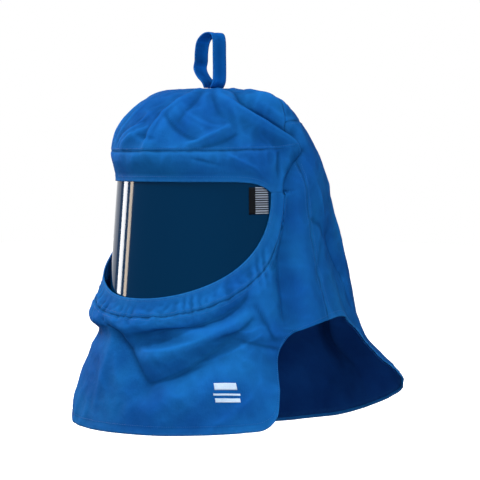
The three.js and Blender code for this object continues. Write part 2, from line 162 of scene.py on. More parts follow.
# Large folds: turn, drop, to turn, to drop, bow, breadth, rise, where drops and bow are shares of
# hood_drop, breadth of fold_breadth and rise of fold_rise.
folds = np.array([
    (50, 0.034, 102, 0.19, 0, 0.3, 0.5),
    (68, 0.034, 104, 0.13, 0, 0.36, -1.25),
    (88, 0.02, 114, 0.07, 0, 0.24, 0.4),
    (26, 0.03, 10, 0.185, 0, 0.3, 0.4),
    (4, 0.124, -14, 0.17, 0, 0.26, 0.35),
    (20, 0.095, 42, 0.163, 0, 0.24, -0.15),
    (55, 0.135, 34, 0.175, 0, 0.24, 0.3),
    (-28, 0.05, -42, 0.185, 0, 0.35, 0.35),
    (-50, 0.05, -78, 0.17, 0, 0.3, -0.4),
    (-62, 0.04, -98, 0.17, 0, 0.3, 0.45),
    (56, 0.212, 78, 0.3, 0, 0.26, 0.35),
    (105, 0.19, 87, 0.31, 0, 0.4, -0.6),
    (89, 0.31, 80, 0.7, 0, 0.42, -1.15),
    (94, 0.4, 92, 0.68, 0, 0.42, 0.4),
    (-86, 0.36, -82, 0.62, 0, 0.5, -0.6),
    (119, 0.45, 124, 0.68, 0, 0.5, -0.45),
    (8, 0.737, 58, 0.617, 0.012, 0.4, -0.95),
    (14, 0.775, 58, 0.66, 0.012, 0.34, 0.5),
    (-18, 0.703, 9, 0.866, -0.03, 0.45, -0.7),
    (11, 0.866, 60, 0.671, 0.012, 0.45, -0.7),
    (18, 0.9, 62, 0.75, 0.02, 0.6, 0.45),
    (-84, 0.66, -40, 0.69, 0, 0.4, 0.3),
    (-84, 0.74, -22, 0.725, 0, 0.36, -0.55),
    (-34, 0.8, -40, 0.99, 0, 0.7, 0.45),
    (150, 0.3, 146, 0.95, 0, 0.8, 0.5),
    (166, 0.45, 163, 1.03, 0, 0.8, -0.7),
    (184, 0.5, 184, 1.08, 0, 0.8, 0.6),
    (204, 0.45, 206, 1.1, 0, 0.8, -0.7),
    (222, 0.4, 222, 1, 0, 0.8, 0.5),
    (243, 0.3, 240, 0.68, 0, 0.5, -0.45),
])

# Creases of the cloth itself, finer than the folds: turn, drop, to turn, to drop, bow, breadth and
# rise, with drops, bow, breadth and rise in millimetres.
creases = np.array([
    (50, 18, 78, 60, 0, 5, 3.2),
    (78, 60, 102, 98, 0, 5, 3.4),
    (68, 20, 86, 44, 0, 6, -3),
    (86, 44, 103, 68, 0, 6, -3.2),
    (82, 18, 106, 54, 0, 5, 1.4),
    (27, 16, 13, 44, 0, 4, 3.4),
    (13, 44, 8, 94, 0, 4, 3.8),
    (-1, 60, -20, 90, 0, 4, 3),
    (17, 50, 39, 84, 3, 4, -3.4),
    (34, 14, 26, 52, 0, 5, -2),
    (28, 40, 50, 66, 2, 4, 1.4),
    (6, 66, -12, 90, 0, 3.5, 2.4),
    (2, 40, -6, 62, 0, 5, 1.8),
    (-14, 30, -28, 84, 0, 5, 2.2),
    (-2, 74, 14, 84, 1, 3.5, -1.8),
    (56, 64, 34, 90, 3, 4, 3.6),
    (60, 76, 36, 98, 4, 5, -2.4),
    (44, 14, 50, 40, 0, 5, -1.4),
    (56, 108, 68, 126, 0, 4, 3),
    (68, 126, 79, 158, 0, 4, 3.2),
    (60, 112, 80, 146, 3, 5, -2.6),
    (84, 104, 82, 150, 0, 5, -3),
    (36, 112, 50, 122, 0, 4, -1.4),
    (106, 98, 96, 128, 0, 6, -4),
    (96, 128, 90, 156, 0, 7, -4.2),
    (90, 164, 85, 262, 0, 9, -2),
    (85, 262, 78, 360, 0, 9, -2.4),
    (90, 150, 88, 230, 0, 5, 2.4),
    (119, 238, 130, 300, 0, 6, -3.4),
    (130, 300, 133, 352, 0, 6, -3),
    (112, 150, 116, 200, 0, 6, 2),
    (108, 250, 100, 300, 0, 5, -1.6),
    (6, 382, 36, 358, 5, 7, -5),
    (36, 358, 60, 316, 5, 7, -5),
    (10, 400, 42, 372, 5, 6, 2.4),
    (-13, 368, 0, 400, 0, 6, -4),
    (0, 400, 10, 450, 0, 6, -4),
    (10, 450, 38, 406, 4, 6, -4.6),
    (39, 404, 61, 350, 5, 6, -4),
    (30, 420, 64, 374, 5, 5, 1.8),
    (64, 330, 70, 380, 0, 5, -2.2),
    (52, 380, 72, 396, 0, 6, -1.6),
    (-12, 376, -17, 505, 0, 9, 2.8),
    (60, 440, 40, 500, 4, 7, 1.4),
    (20, 300, 34, 318, 0, 5, 1.4),
    (-30, 340, -12, 352, 0, 5, 1.6),
    (24, 306, 28, 334, 0, 3.5, 2.4),
    (31, 300, 36, 330, 0, 3.5, -2.6),
    (38, 294, 44, 322, 0, 3.5, 2.4),
    (45, 286, 52, 312, 0, 3.5, -2.4),
    (10, 312, 11, 338, 0, 3.5, -2.2),
    (-4, 314, -5, 342, 0, 3.5, 2.2),
    (-18, 312, -21, 338, 0, 3.5, -2.2),
    (56, 270, 64, 294, 0, 4, 2.2),
    (-60, 372, -30, 384, 0, 5, -2),
    (104, 206, 112, 216, 0, 4, -2),
    (112, 216, 114, 234, 0, 4, -1.6),
    (140, 90, 134, 330, 0, 9, 2),
    (156, 120, 150, 500, 0, 11, 3),
    (167, 260, 162, 556, 0, 9, -3),
    (180, 200, 184, 560, 0, 12, 3),
    (200, 250, 206, 560, 0, 9, -3),
    (218, 110, 222, 520, 0, 11, 2.6),
    (236, 200, 240, 470, 0, 8, -2.4),
    (150, 60, 172, 110, 6, 6, -2.2),
    (206, 70, 190, 130, 6, 6, 2),
])


def ease(value, low, high):
    share = np.clip((value - low) / (high - low), 0, 1)
    return share * share * (3 - 2 * share)


def mix(low, high, share):
    return low + (high - low) * share


def level_at(row):
    """The drop and the four half sizes of the level section at each row."""
    row = np.clip(np.asarray(row, float), 0, last_row)
    start = np.minimum(row.astype(int), last_row - 1)
    p = (row - start)[:, None]
    before = np.where(start == 0, 1, start - 1)
    after = np.where(start == last_row - 1, start, start + 2).clip(max=last_row)
    weight_before = np.where(start == 0, -0.5, 0.5)[:, None]
    weight_after = np.where(start == last_row - 1, -0.5, 0.5)[:, None]
    return (
        (-weight_before * p**3 + 2 * weight_before * p**2 - weight_before * p) * section_sizes[before]
        + ((1 + weight_before) * p**3 + (-1.5 - 2 * weight_before) * p**2
           + (-0.5 + weight_before) * p + 1) * section_sizes[start]
        + ((-1 - weight_after) * p**3 + (1.5 + weight_after) * p**2 + 0.5 * p) * section_sizes[start + 1]
        + (weight_after * p**3 - weight_after * p**2) * section_sizes[after]
    )


def row_at(drop):
    halvings = 30
    drop = np.asarray(drop, float)
    low, high = np.zeros_like(drop), np.full_like(drop, last_row)
    for _ in range(halvings):
        middle = (low + high) / 2
        below = level_at(middle)[:, 0] < drop
        low, high = np.where(below, middle, low), np.where(below, high, middle)
    return low


def map_point(turn, row):
    """The hood mapped flat round its crown: distance from the centre is the row, direction the turn."""
    turn, row = np.broadcast_arrays(np.radians(turn), row)
    return np.stack((np.sin(turn) * row, -np.cos(turn) * row), axis=1)


def map_at(turn, drop):
    turn, drop = np.broadcast_arrays(np.asarray(turn, float), np.asarray(drop, float))
    return map_point(turn, row_at(drop))


def degrees_wide(length):
    return length / math.radians(head_half_width)


def brow_seam(turn):
    return brow_seam_drop - brow_seam_rise * (np.asarray(turn) / side_seam_turn) ** 2


def window_edge(turn):
    share = np.minimum(1, np.abs(turn) / window_turn)
    return window_top + (window_corner - window_top) * share**brow_curl


def oval_drop(turn, margin):
    share = np.minimum(1, np.abs(turn) / (window_turn + degrees_wide(margin)))
    return window_corner + (window_deep + margin) * (1 - share**window_round) ** (1 / window_round)


def window_distance(turn, drop):
    beside = (np.abs(turn) - window_turn) * math.radians(head_half_width)
    above = np.maximum(np.maximum(window_edge(turn) - drop, beside), 0)
    below = np.hypot(turn / window_turn, (drop - window_corner) / window_deep) - 1
    return np.where(drop < window_corner, above, np.maximum(below, 0) * window_deep)


def ridges(table, turn, drop, crisp=False):
    """Sum of a table's folds at each place. A fold is 1 high in its middle and half that at its ends, and
    a crisp one comes to an edge, as stiff cloth does where it is creased."""
    here = np.stack((turn * math.radians(head_half_width), drop), axis=1)
    height = np.zeros(len(turn))
    for start_turn, start, to_turn, to, bow, breadth, rise in table:
        first = np.array((start_turn * math.radians(head_half_width), start))
        line = np.array((to_turn * math.radians(head_half_width), to)) - first
        along = np.clip((here - first) @ line / (line @ line), 0, 1)
        crest = first + along[:, None] * line
        crest[:, 1] += bow * 4 * along * (1 - along)
        away = np.hypot(*(here - crest).T) / breadth
        sharp = np.exp(crease_peak - np.sqrt(away * away + crease_round))
        profile = sharp if crisp else np.exp(-away * away)
        height += rise * profile * (0.5 + 2 * along * (1 - along))
    return height


def place_of(maps):
    drop, side, drape_side, front, back = level_at(np.hypot(*maps.T)).T
    return np.degrees(np.arctan2(maps[:, 0], -maps[:, 1])), drop, side, drape_side, front, back


def smooth_point(maps):
    turn, drop, side, drape_side, front, back = place_of(maps)
    near_window = np.exp(-((window_distance(turn, drop) / hug_reach) ** 2))
    hug = near_window * ease(drop, cross_seam_drop, window_top)
    share = (drop - window_top) / (window_corner + window_deep - window_top)
    over_cheek = np.exp(-(((turn - slack_turn) / slack_span) ** 2))
    slack = over_cheek * ease(drop, window_corner, slack_drop)
    seat = layer_gap + cloth_wall + band_slack * slack
    half_width = mix(side, drape_side, ease(np.abs(turn), back_blend_from, back_blend_to))
    in_front = np.abs(turn) < 90
    across = mix(half_width, lens_side + lens_flare_side * share + seat, hug)
    along = np.where(in_front, mix(front, lens_front + lens_flare_front * share + seat, hug), back)
    return np.stack(
        (across * np.sin(np.radians(turn)), -along * np.cos(np.radians(turn)), cloth_wall - drop), axis=1
    )


def smooth_normal(maps):
    step = 0.02
    eastward = smooth_point(maps + (step, 0)) - smooth_point(maps - (step, 0))
    backward = smooth_point(maps + (0, step)) - smooth_point(maps - (0, step))
    normal = np.cross(eastward, backward)
    return normal / np.linalg.norm(normal, axis=1)[:, None]


def noise_at(point, width, height, shift=0):
    x, y, z = point
    return noise.noise(Vector((x / width, y / width, z / height + shift)))


def cloth_point(maps, depth=0.0, relief=0.0):
    """Points of the hood's cloth, folds, creases and ripples and all, at a depth below its outer face."""
    turn, drop = place_of(maps)[:2]
    around_back = np.where(turn < -side_seam_turn, turn + 360, turn)
    large = folds * (1, hood_drop, 1, hood_drop, hood_drop, fold_breadth, fold_rise)
    beyond = window_distance(turn, drop)
    clear = ease(beyond, lens_margin, lens_margin + hug_reach)
    near_band = np.exp(-(((beyond - window_band_width) / gather_reach) ** 2))
    gathered = near_band * ease(drop, window_corner, arch_drop)
    uneven = turn + sum(shift * np.sin(turn / run + start) for shift, run, start in gather_waves)
    gathers = np.sin(2 * np.pi * uneven / degrees_wide(gather_pitch)) * gather_rise * gathered
    smooth = smooth_point(maps)
    ripple = np.array([
        ripple_level + sum(rise * noise_at(point, *size) for rise, *size in soft_ripples)
        - sum(rise * abs(noise_at(point, *size)) for rise, *size in sharp_ripples)
        for point in smooth
    ])
    pucker = np.array([noise_at(point, pucker_size, pucker_size) for point in smooth])
    fine = ridges(creases, around_back, drop, crisp=True)
    height = ridges(large, around_back, drop) + crease_strength * fine + ripple
    lift = height * clear + gathers + pucker_rise * pucker * gathered + relief - depth
    return smooth + smooth_normal(maps) * lift[:, None]


def bend_of(points, reach):
    """How sharply a grid of points bends at each place, as 1 over the radius in millimetres, and above 0
    where it stands out. It is taken over a reach counted in points."""
    least_span = 3
    around = np.pad(points, ((reach, reach), (reach, reach), (0, 0)), mode="reflect", reflect_type="odd")
    west, east = around[reach:-reach, : -2 * reach], around[reach:-reach, 2 * reach :]
    south, north = around[: -2 * reach, reach:-reach], around[2 * reach :, reach:-reach]
    outward = np.cross(east - west, north - south)
    outward /= np.maximum(np.linalg.norm(outward, axis=2), 1e-6)[:, :, None]
    bend = np.zeros(points.shape[:2])
    for before, after in ((west, east), (south, north)):
        span = np.maximum(np.linalg.norm(after - before, axis=2), least_span)
        bend -= 4 * ((before + after - 2 * points) * outward).sum(axis=2) / span**2
    return bend


def bent_grid(name, columns, rows, place, seams=(), hems=(), sewn=None):
    """A grid bent to a shape: place takes across and down, from 0 to 1, and a relief in millimetres.
    Its map "cut" is in metres along the cloth. Its attribute "edge" is 1 at turned edges and less at sewn
    ones, and "fold" is above 0 on ridges and below 0 in creases and seams; it paints a highlight on ridges
    and shade in creases and beside seams."""
    shape = bmesh.new()
    bmesh.ops.create_grid(shape, x_segments=columns, y_segments=rows, size=0.5)
    flat = np.array([corner.co for corner in shape.verts])
    across, down = flat[:, 0] + 0.5, 0.5 - flat[:, 1]
    grid = (rows + 1, columns + 1)
    points = place(across, down, np.zeros(len(flat))).reshape(*grid, 3)
    right = np.cumsum(np.pad(np.linalg.norm(np.diff(points, axis=1), axis=2), ((0, 0), (1, 0))), axis=1)
    up = np.cumsum(np.pad(np.linalg.norm(np.diff(points, axis=0), axis=2), ((1, 0), (0, 0))), axis=0)
    reach = {"left": right, "right": right[:, -1:] - right, "bottom": up, "top": up[-1:] - up}
    edge = np.zeros(grid)
    relief = np.zeros(grid)
    seam_shade_mask = np.zeros(grid)
    level_part = 1 if sewn is None else sewn(across).reshape(grid)
    for side in seams:
        part = level_part if side in ("top", "bottom") else 1
        edge = np.maximum(edge, seam_wear * np.exp(-reach[side] / seam_wear_reach) * part)
        relief -= seam_dip * np.exp(-((reach[side] / seam_dip_reach) ** 2)) * part
        seam_shade_mask += np.exp(-((reach[side] / seam_painted_shade_reach) ** 2)) * part
    for side in hems:
        part = level_part if side in ("top", "bottom") else 1
        edge = np.maximum(edge, np.exp(-reach[side] / hem_wear_reach) * part)
        relief += hem_rise * (1 - ease(reach[side], hem_flat, hem_end)) * part
    points = place(across, down, relief.ravel()) * MM
    for corner, point in zip(shape.verts, points):
        corner.co = point
    bent = points.reshape(*grid, 3) / MM
    # Painted highlight and shade: "fold" lightens the colour on ridges and darkens it in creases and close
    # beside seams.
    fold = crease_share * np.clip(bend_of(bent, crease_reach) / crease_bend, -1, 1)
    fold += fold_share * np.clip((bend_of(bent, fold_reach) - head_bend) / fold_bend, -1, 1)
    fold -= seam_painted_shade * seam_shade_mask
    cut = shape.loops.layers.uv.new("cut")
    middle = right - right[:, columns // 2 : columns // 2 + 1]
    cut_place = np.stack((middle, up), axis=2).reshape(-1, 2) * MM
    edge_layer = shape.verts.layers.float.new("edge")
    fold_layer = shape.verts.layers.float.new("fold")
    for corner, value, bend in zip(shape.verts, edge.ravel(), fold.ravel()):
        corner[edge_layer] = value
        corner[fold_layer] = bend
    for face in shape.faces:
        face.smooth = True
        for loop in face.loops:
            loop[cut].uv = cut_place[loop.vert.index]
    return new_piece(name, shape)


def new_piece(name, shape):
    mesh = bpy.data.meshes.new(name)
    shape.to_mesh(mesh)
    shape.free()
    piece = bpy.data.objects.new(name, mesh)
    bpy.context.scene.collection.objects.link(piece)
    return piece


def give_wall(piece, wall):
    solid = piece.modifiers.new("wall", "SOLIDIFY")
    solid.thickness = wall * MM
    solid.offset = -1
    return piece


def panel(name, columns, rows, upper, lower, seams, hems, sewn=None):
    def place(across, down, relief):
        return cloth_point(mix(upper(across), lower(across), down[:, None]), relief=relief)
    return give_wall(bent_grid(name, columns, rows, place, seams, hems, sewn), cloth_wall)


def linear(code):
    """A colour for a shader socket from its sRGB hex code."""
    channels = [int(code[i : i + 2], 16) / 255 for i in (1, 3, 5)]
    return [c / 12.92 if c <= 0.04045 else ((c + 0.055) / 1.055) ** 2.4 for c in channels] + [1.0]


def add_node(owner, kind, inputs=None, **settings):
    node = owner.node_tree.nodes.new(kind)
    for name, value in settings.items():
        setattr(node, name, value)
    for name, value in (inputs or {}).items():
        if isinstance(value, bpy.types.NodeSocket):
            owner.node_tree.links.new(value, node.inputs[name])
        else:
            node.inputs[name].default_value = value
    return node


def bare_material(name):
    material = bpy.data.materials.new(name)
    material.use_nodes = True
    material.node_tree.nodes.clear()
    return material


def blend(material, share, low, high):
    """The colour between two, each a colour or a socket."""
    return add_node(
        material, "ShaderNodeMix", {"Factor": share, 6: low, 7: high}, data_type="RGBA"
    ).outputs[2]


def woven_cloth(name, deep, bright, edge, gleam, rib, roughness, sheen, crumple):
    """A matte twill: diagonal ribs, uneven yarns and a mottled dye, paler at rubbed edges, with a painted
    highlight on ridges and painted shade in creases and beside seams. The ribs are drawn at rib mm, coarser
    than the real 0.5 mm."""
    cloth = bare_material(name)
    place = add_node(cloth, "ShaderNodeTexCoord").outputs["Object"]
    cut = add_node(cloth, "ShaderNodeUVMap", uv_map="cut").outputs["UV"]
    diagonal = add_node(
        cloth, "ShaderNodeMapping", {"Vector": cut, "Rotation": (0, 0, math.radians(63))}
    ).outputs["Vector"]
    ribs = add_node(
        cloth, "ShaderNodeTexWave", {"Vector": diagonal, "Scale": 0.314 / (rib * MM), "Distortion": 1.2,
                                     "Detail": 2.0, "Detail Scale": 1.5}, bands_direction="X",
    ).outputs["Fac"]
    yarn_run = add_node(
        cloth, "ShaderNodeMapping", {"Vector": cut, "Scale": (1.0, 0.12, 1.0)}
    ).outputs["Vector"]
    yarns = add_node(
        cloth, "ShaderNodeTexNoise", {"Vector": yarn_run, "Scale": 1 / (1.4 * MM), "Detail": 3.0}
    ).outputs["Fac"]
    dye = add_node(
        cloth, "ShaderNodeTexNoise", {"Vector": place, "Scale": 1 / (75 * MM), "Detail": 3.0}
    ).outputs["Fac"]
    dye_spread = add_node(
        cloth, "ShaderNodeMapRange", {"Value": dye, "From Min": 0.32, "From Max": 0.68}
    ).outputs["Result"]
    dyed = blend(cloth, dye_spread, linear(deep), linear(bright))
    yarn_shade = add_node(
        cloth, "ShaderNodeMapRange", {"Value": yarns, "From Min": 0.3, "From Max": 0.7, "To Min": 0.95,
                                      "To Max": 1.04}
    ).outputs["Result"]
    # Painted highlight and shade: the "fold" attribute lightens the colour on ridges and darkens it in
    # creases and beside seams.
    folded = add_node(
        cloth, "ShaderNodeAttribute", attribute_name="fold", attribute_type="GEOMETRY"
    ).outputs["Fac"]
    painted_fold_light_and_shade = add_node(
        cloth, "ShaderNodeMapRange", {"Value": folded, "From Min": -2.0, "From Max": 1.0, "To Min": 0.32,
                                      "To Max": 1.22}
    ).outputs["Result"]
    shade = add_node(
        cloth, "ShaderNodeMath", {0: yarn_shade, 1: painted_fold_light_and_shade}, operation="MULTIPLY"
    ).outputs[0]
    shaded = add_node(
        cloth, "ShaderNodeVectorMath", {0: dyed, 1: shade}, operation="MULTIPLY"
    ).outputs[0]
    worn = add_node(
        cloth, "ShaderNodeAttribute", attribute_name="edge", attribute_type="GEOMETRY"
    ).outputs["Fac"]
    rubbed = add_node(
        cloth, "ShaderNodeTexNoise", {"Vector": place, "Scale": 1 / (6 * MM), "Detail": 2.0}
    ).outputs["Fac"]
    wear = add_node(cloth, "ShaderNodeMath", {0: worn, 1: rubbed}, operation="MULTIPLY").outputs[0]
    faded = blend(cloth, wear, shaded, linear(edge))
    weave = add_node(
        cloth, "ShaderNodeBump", {"Height": ribs, "Strength": 0.35, "Distance": 0.18 * MM}
    ).outputs["Normal"]
    slubs = add_node(
        cloth, "ShaderNodeBump", {"Height": yarns, "Strength": 0.3, "Distance": 0.08 * MM, "Normal": weave}
    ).outputs["Normal"]
    crumples = add_node(
        cloth, "ShaderNodeTexNoise", {"Vector": place, "Scale": 1 / (14 * MM), "Detail": 4.0,
                                      "Roughness": 0.55},
    ).outputs["Fac"]
    surface = add_node(
        cloth, "ShaderNodeBump", {"Height": crumples, "Strength": 1.0, "Distance": crumple * MM,
                                  "Normal": slubs},
    ).outputs["Normal"]
    shader = add_node(cloth, "ShaderNodeBsdfPrincipled", {
        "Base Color": faded, "Roughness": roughness, "IOR": 1.5, "Specular IOR Level": 0.003,
        "Specular Tint": linear(gleam), "Sheen Weight": sheen, "Sheen Roughness": 0.45,
        "Sheen Tint": linear(edge), "Normal": surface,
    })
    add_node(cloth, "ShaderNodeOutputMaterial", {"Surface": shader.outputs["BSDF"]})
    return cloth


shell_cloth = woven_cloth(
    "aramid_twill_blue", "#13539f", "#1865ae", "#2876bf", "#5aa4ee", rib=2.0, roughness=0.55, sheen=0.0,
    crumple=1.3,
)

# The panels lap a little along their seams, so that no light shows between them.
half_seam = -0.5
seam_turn = degrees_wide(half_seam)
front_turn = side_seam_turn - seam_turn
crown_row_depth = 55


def cloth_turn(across):
    return mix(-front_turn, front_turn, across)


def crown_seam(across, temple_drop, forward):
    """The seam over the top of the head, from temple to temple; forward is -1 for its front side."""
    reach = np.abs(2 * across - 1) * row_at(np.full(1, temple_drop))[0]
    maps = map_point(side_seam_turn, reach)
    maps[:, 0] *= np.sign(2 * across - 1)
    maps[:, 1] += forward * half_seam / crown_row_depth
    return maps


def dress(piece, slot, material, *nodes):
    """Gives a finished piece its material, and hides the solids it stands for. The slot, its finish in the
    record, is not used.
    """
    piece.data.materials.append(material)
    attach(piece, "root")
    if nodes:
        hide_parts(*nodes)
    return piece


crown_front = dress(
    panel(
        "crown_front_cloth", 190, 74,
        lambda across: crown_seam(across, brow_seam(side_seam_turn) - seam_end, -1),
        lambda across: map_at(cloth_turn(across), brow_seam(cloth_turn(across)) - half_seam),
        seams=("top", "bottom"), hems=(),
    ),
    "shell_cloth", shell_cloth, "crown_front",
)
crown_back = dress(
    panel(
        "crown_back_cloth", 110, 44,
        lambda across: crown_seam(1 - across, cross_seam_drop - seam_end, 1),
        lambda across: map_at(
            mix(side_seam_turn + seam_turn, 360 - side_seam_turn - seam_turn, across),
            cross_seam_drop - half_seam,
        ),
        seams=("top", "bottom"), hems=(),
    ),
    "shell_cloth", shell_cloth, "crown_back",
)

# Brow band: the strip of the same cloth between the crown and the window. Its lower edge is turned
# under above the lens, and past the window's corners it runs up to the temples.
band_columns = 36
cheek_columns = 4
front_columns = band_columns + 2 * cheek_columns
corner_fade = 0.06
temple = float(brow_seam(side_seam_turn)) + seam_end


def window_line(margin):
    def line(share):
        turn = (window_turn + degrees_wide(margin)) * np.sin((share - 0.5) * np.pi)
        return map_at(turn, oval_drop(turn, margin) + 2 * seam_gap)
    return line


def to_temples(line, temple_drop):
    """An edge that follows a line in the middle and runs on from its two ends to the temples."""
    def edge(across):
        share = (across * front_columns - cheek_columns) / band_columns
        side = np.where(share < 0.5, -1.0, 1.0)
        outward = np.maximum(np.abs(share - 0.5) - 0.5, 0) * band_columns / cheek_columns
        within = line(np.clip(share, 0, 1))
        return mix(within, map_at(side * front_turn, temple_drop), outward[:, None])
    return edge


def beside_window(across):
    """1 where an edge runs along the window and 0 where it runs on over the cheek."""
    corner = 0.5 * band_columns / front_columns
    return 1 - ease(np.abs(across - 0.5), corner - corner_fade, corner)


def over_window(share):
    reach = window_turn + degrees_wide(window_band_width)
    turn = mix(-reach, reach, share)
    return map_at(turn, window_edge(turn) - seam_gap)


brow_band = dress(
    panel(
        "brow_band_cloth", 220, 26,
        lambda across: map_at(cloth_turn(across), brow_seam(cloth_turn(across)) + half_seam),
        to_temples(over_window, temple - half_seam),
        seams=("top",), hems=("bottom",), sewn=beside_window,
    ),
    "shell_cloth", shell_cloth, "brow_band",
)

# Window band: the narrow casing that holds the lens's lower edge. It is sewn on with two rows of
# stitches, and the curve makes it pucker.
window_band = dress(
    panel(
        "window_band_cloth", 216, 12, window_line(0), window_line(window_band_width),
        seams=("bottom",), hems=("top",),
    ),
    "shell_cloth", shell_cloth, "window_band",
)

# Front panel: both cheeks and the bib in one piece of cloth, hanging free below the chin, with the
# front edges of the two cut-outs over the shoulders. Its edge is turned under and stitched.
front_hem_tilt = 12
bib_edge = np.array([
    (0, 1), (10, 1), (20, 1), (30, 0.998), (39.5, 0.996), (49.5, 0.993), (57.5, 0.987), (63, 0.955),
    (66.2, 0.895), (68.8, 0.835), (71.5, 0.775), (76, 0.735), (83.5, 0.709), (92.5, 0.694),
    (front_turn, arch_drop / hood_drop),
])


def curve_through(stations, share):
    """Points of a smooth curve through stations, at shares of the way along it."""
    last = len(stations) - 1
    run = last * np.clip(share, 0, 1)
    start = run.astype(int)
    part = (run - start)[:, None]
    before, first = stations[np.maximum(start - 1, 0)], stations[start]
    second, after = stations[np.minimum(start + 1, last)], stations[np.minimum(start + 2, last)]
    leave, arrive = (second - before) / 2, (after - first) / 2
    return (
        (2 * first - 2 * second + leave + arrive) * part**3
        + (-3 * first + 3 * second - 2 * leave - arrive) * part**2 + leave * part + first
    )


def drawn_edge(stations):
    """An edge drawn smoothly through stations of turn and drop."""
    def edge(across):
        return map_at(*curve_through(stations, across).T)
    return edge


def both_halves(half, middle):
    mirrored = half[:0:-1].copy()
    mirrored[:, 0] = 2 * middle - mirrored[:, 0]
    return np.concatenate((mirrored, half))


def hung(stations, tilt):
    """The hem hangs lower over the wearer's right shoulder than over the left."""
    stations = stations.copy()
    lean = np.sin(np.radians(stations[:, 0])) * ease(stations[:, 1], arch_drop, hood_drop)
    stations[:, 1] -= tilt * lean
    return stations


front_upper = to_temples(window_line(window_band_width + half_seam), temple + half_seam)
bib_line = drawn_edge(hung(both_halves(bib_edge * (1, hood_drop), 0), front_hem_tilt))
front_panel = dress(
    panel(
        "front_panel_cloth", 220, 110, front_upper, bib_line,
        seams=("top", "left", "right"), hems=("bottom",), sewn=beside_window,
    ),
    "shell_cloth", shell_cloth, "front_panel",
)

# Back panel: the nape and the drape over the back and shoulders, with the rear edges of the two
# cut-outs. Navy lining lies inside it and stops short of its edge, so the blue turns round the hem.
back_hem_tilt = 85
lining_wall = 1.2
lining_gap = 0.8
lining_reveal = 0.006
drape_edge = np.array([
    (180, 180, 1.066), (170, 170, 1.06), (160, 160, 1.05), (150, 150, 1.033), (141, 141.5, 1.013),
    (134, 135.5, 0.988), (129, 132.5, 0.94), (125, 131, 0.87), (121, 129, 0.8), (117, 125, 0.73),
    (113, 119, 0.693), (108, 111, 0.681),
    (side_seam_turn + seam_turn, side_seam_turn + seam_turn, arch_drop / hood_drop),
])
cross_line = np.stack((drape_edge[:, 0], np.full(len(drape_edge), cross_seam_drop + half_seam)), axis=1)
drape_hem = drape_edge[:, 1:] * (1, hood_drop)


def left_to_right(half):
    stations = both_halves(half, 180)
    stations[:, 0] = 360 - stations[:, 0]
    return stations


drape_upper = drawn_edge(left_to_right(cross_line))
drape_lower = drawn_edge(hung(left_to_right(drape_hem), back_hem_tilt))
back_panel = dress(
    panel(
        "back_panel_cloth", 190, 120, drape_upper, drape_lower,
        seams=("top", "left", "right"), hems=("bottom",),
    ),
    "shell_cloth", shell_cloth, "back_panel",
)
navy_cloth = woven_cloth(
    "cotton_lining_navy", "#0c2f6c", "#103a7c", "#1b4a8e", "#3a62a8", rib=1.6, roughness=0.85, sheen=0.02,
    crumple=1.4,
)


def lining_place(across, down, relief):
    inner_across = lining_reveal + (1 - 2 * lining_reveal) * across
    inner_down = down * (1 - lining_reveal)
    maps = mix(drape_upper(inner_across), drape_lower(inner_across), inner_down[:, None])
    return cloth_point(maps, cloth_wall + lining_gap)


back_lining = dress(
    give_wall(bent_grid("back_lining_cloth", 150, 100, lining_place, hems=("bottom",)), lining_wall),
    "lining_cloth", navy_cloth, "back_lining",
)

# Topstitching: rows of blue aramid thread beside the seams and along the turned hems, about three
# millimetres to a stitch, each sunk a little in the cloth.
stitch_pitch = 3.4
stitch_length = 2.5
stitch_breadth = 0.75
edge_row = 8
seam_row = 4
side_row_lean = 1.6
sewing_thread = bare_material("aramid_thread_blue")
thread_spot = add_node(sewing_thread, "ShaderNodeTexCoord").outputs["Object"]
thread_twist = add_node(
    sewing_thread, "ShaderNodeTexNoise", {"Vector": thread_spot, "Scale": 1 / (0.8 * MM), "Detail": 2.0}
).outputs["Fac"]
thread_tone = blend(sewing_thread, thread_twist, linear("#0d478f"), linear("#2a70ba"))
thread_shader = add_node(sewing_thread, "ShaderNodeBsdfPrincipled", {
    "Base Color": thread_tone, "Roughness": 0.5, "Specular IOR Level": 0.2,
})
add_node(sewing_thread, "ShaderNodeOutputMaterial", {"Surface": thread_shader.outputs["BSDF"]})


def topstitch(name, rows):
    """Stitches along rows, each of them the points and the outward directions of a line on the cloth."""
    shape = bmesh.new()
    for points, outward in rows:
        run = np.concatenate(((0,), np.cumsum(np.linalg.norm(np.diff(points, axis=0), axis=1))))
        stops = np.arange(stitch_pitch / 2, run[-1], stitch_pitch)
        place = np.stack([np.interp(stops, run, column) for column in points.T], axis=1)
        ahead = np.stack([np.interp(stops + 1, run, column) for column in points.T], axis=1)
        normal = np.stack([np.interp(stops, run, column) for column in outward.T], axis=1)
        for at, to, up in zip(place, ahead, normal):
            along, up = Vector(to - at).normalized(), Vector(up).normalized()
            beside = up.cross(along).normalized()
            sides = Matrix((along * stitch_length, beside * stitch_breadth, up * stitch_breadth))
            turned = (sides.transposed() * (MM / 2)).to_4x4()
            turned.translation = Vector(at) * MM
            bmesh.ops.create_icosphere(shape, subdivisions=1, radius=1, matrix=turned)
    for face in shape.faces:
        face.smooth = True
    return dress(new_piece(name, shape), "shell_cloth", sewing_thread)


def cloth_row(maps, relief=0.1):
    return cloth_point(maps, 0, relief), smooth_normal(maps)


def inside_edge(edge, inner, inset, count):
    """A line on the cloth at a distance inside a panel's edge."""
    share = np.linspace(0.004, 0.996, count)
    outer, far = edge(share), inner(share)
    length = np.linalg.norm(smooth_point(outer) - smooth_point(far), axis=1)
    return mix(outer, far, (inset / length)[:, None])


